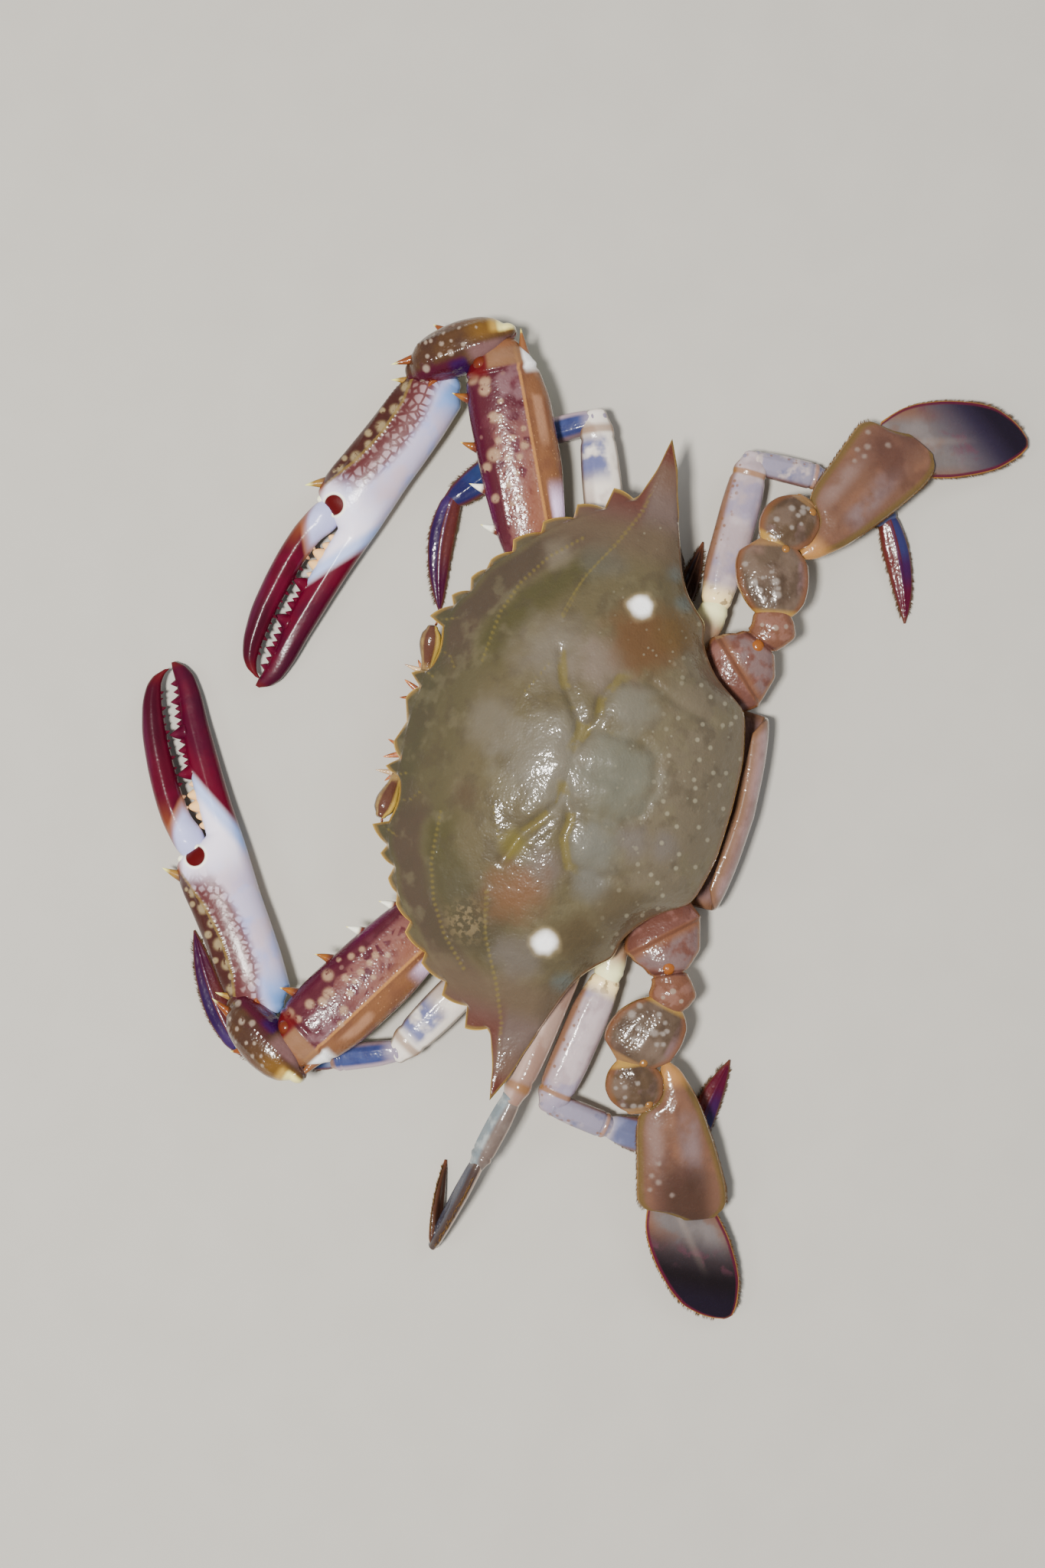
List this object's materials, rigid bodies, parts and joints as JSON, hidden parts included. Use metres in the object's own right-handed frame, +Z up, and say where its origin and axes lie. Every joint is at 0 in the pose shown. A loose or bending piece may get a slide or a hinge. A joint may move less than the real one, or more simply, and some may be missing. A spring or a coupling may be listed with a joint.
{
  "type": "gazami crab",
  "caption": "Still life-size model of a swimming crab at rest, with toothed wide shell, long side spines, spread claws, folded walking legs and oval swimming paddles.",
  "frame": {"origin": "on the floor plane under the middle of the shield, on the flat underface of the folded tail flap", "axes": "+Z up through the back, -Y toward the face and claws, +X toward the crab's own left side"},
  "size_m": [0.2535, 0.2077, 0.0393],
  "materials": {
    "carapace_shell": "olive brown wet-looking shell with pale freckles",
    "underside_shell": "cream shell, satin",
    "abdomen_shell": "pale lilac shell with a tan rim",
    "eye_stalk": "orange brown, glossy",
    "antenna_shell": "red brown, satin",
    "mouthpart_shell": "pinkish cream, satin",
    "claw_base_shell": "cream shell, satin",
    "claw_merus_shell": "purple red shell with cream blotches, glossy",
    "claw_carpus_shell": "olive brown shell with white dots, glossy",
    "claw_palm_shell": "white to lilac shell with a brown netted outer face, glossy",
    "claw_finger_shell": "wine red shell, glossy",
    "leg_base_shell": "cream shell, satin",
    "leg_merus_shell": "lilac white shell, glossy",
    "leg_carpus_shell": "slate blue shell, glossy",
    "leg_propodus_shell": "slate blue shell, glossy",
    "leg_dactyl_shell": "purple to crimson shell, glossy",
    "swimming_base_shell": "red brown shell, glossy",
    "swimming_merus_shell": "olive brown shell with white spots, glossy",
    "swimming_carpus_shell": "olive brown shell with white spots, glossy",
    "swimming_propodus_shell": "orange brown shell, glossy",
    "swimming_paddle_shell": "lilac grey shell darkening to violet black, glossy"
  },
  "bodies": {
    "root": {"carapace": "carapace_shell", "thorax": "underside_shell", "abdomen": "abdomen_shell", "eye_left": "eye_stalk", "eye_right": "eye_stalk", "antenna_left": "antenna_shell", "antenna_right": "antenna_shell", "maxilliped_left": "mouthpart_shell", "maxilliped_right": "mouthpart_shell", "claw_base_left": "claw_base_shell", "claw_base_right": "claw_base_shell", "claw_merus_left": "claw_merus_shell", "claw_merus_right": "claw_merus_shell", "claw_carpus_left": "claw_carpus_shell", "claw_carpus_right": "claw_carpus_shell", "claw_palm_left": "claw_palm_shell", "claw_palm_right": "claw_palm_shell", "claw_finger_left": "claw_finger_shell", "claw_finger_right": "claw_finger_shell", "walking_leg_first_base_left": "leg_base_shell", "walking_leg_first_base_right": "leg_base_shell", "walking_leg_first_merus_left": "leg_merus_shell", "walking_leg_first_merus_right": "leg_merus_shell", "walking_leg_first_carpus_left": "leg_carpus_shell", "walking_leg_first_carpus_right": "leg_carpus_shell", "walking_leg_first_propodus_left": "leg_propodus_shell", "walking_leg_first_propodus_right": "leg_propodus_shell", "walking_leg_first_dactyl_left": "leg_dactyl_shell", "walking_leg_first_dactyl_right": "leg_dactyl_shell", "walking_leg_second_base_left": "leg_base_shell", "walking_leg_second_base_right": "leg_base_shell", "walking_leg_second_merus_left": "leg_merus_shell", "walking_leg_second_merus_right": "leg_merus_shell", "walking_leg_second_carpus_left": "leg_carpus_shell", "walking_leg_second_carpus_right": "leg_carpus_shell", "walking_leg_second_propodus_left": "leg_propodus_shell", "walking_leg_second_propodus_right": "leg_propodus_shell", "walking_leg_second_dactyl_left": "leg_dactyl_shell", "walking_leg_second_dactyl_right": "leg_dactyl_shell", "walking_leg_third_base_left": "leg_base_shell", "walking_leg_third_base_right": "leg_base_shell", "walking_leg_third_merus_left": "leg_merus_shell", "walking_leg_third_merus_right": "leg_merus_shell", "walking_leg_third_carpus_left": "leg_carpus_shell", "walking_leg_third_carpus_right": "leg_carpus_shell", "walking_leg_third_propodus_left": "leg_propodus_shell", "walking_leg_third_propodus_right": "leg_propodus_shell", "walking_leg_third_dactyl_left": "leg_dactyl_shell", "walking_leg_third_dactyl_right": "leg_dactyl_shell", "swimming_leg_base_left": "swimming_base_shell", "swimming_leg_base_right": "swimming_base_shell", "swimming_leg_merus_left": "swimming_merus_shell", "swimming_leg_merus_right": "swimming_merus_shell", "swimming_leg_carpus_left": "swimming_carpus_shell", "swimming_leg_carpus_right": "swimming_carpus_shell", "swimming_leg_propodus_left": "swimming_propodus_shell", "swimming_leg_propodus_right": "swimming_propodus_shell", "swimming_leg_paddle_left": "swimming_paddle_shell", "swimming_leg_paddle_right": "swimming_paddle_shell"}
  },
  "joints": []
}
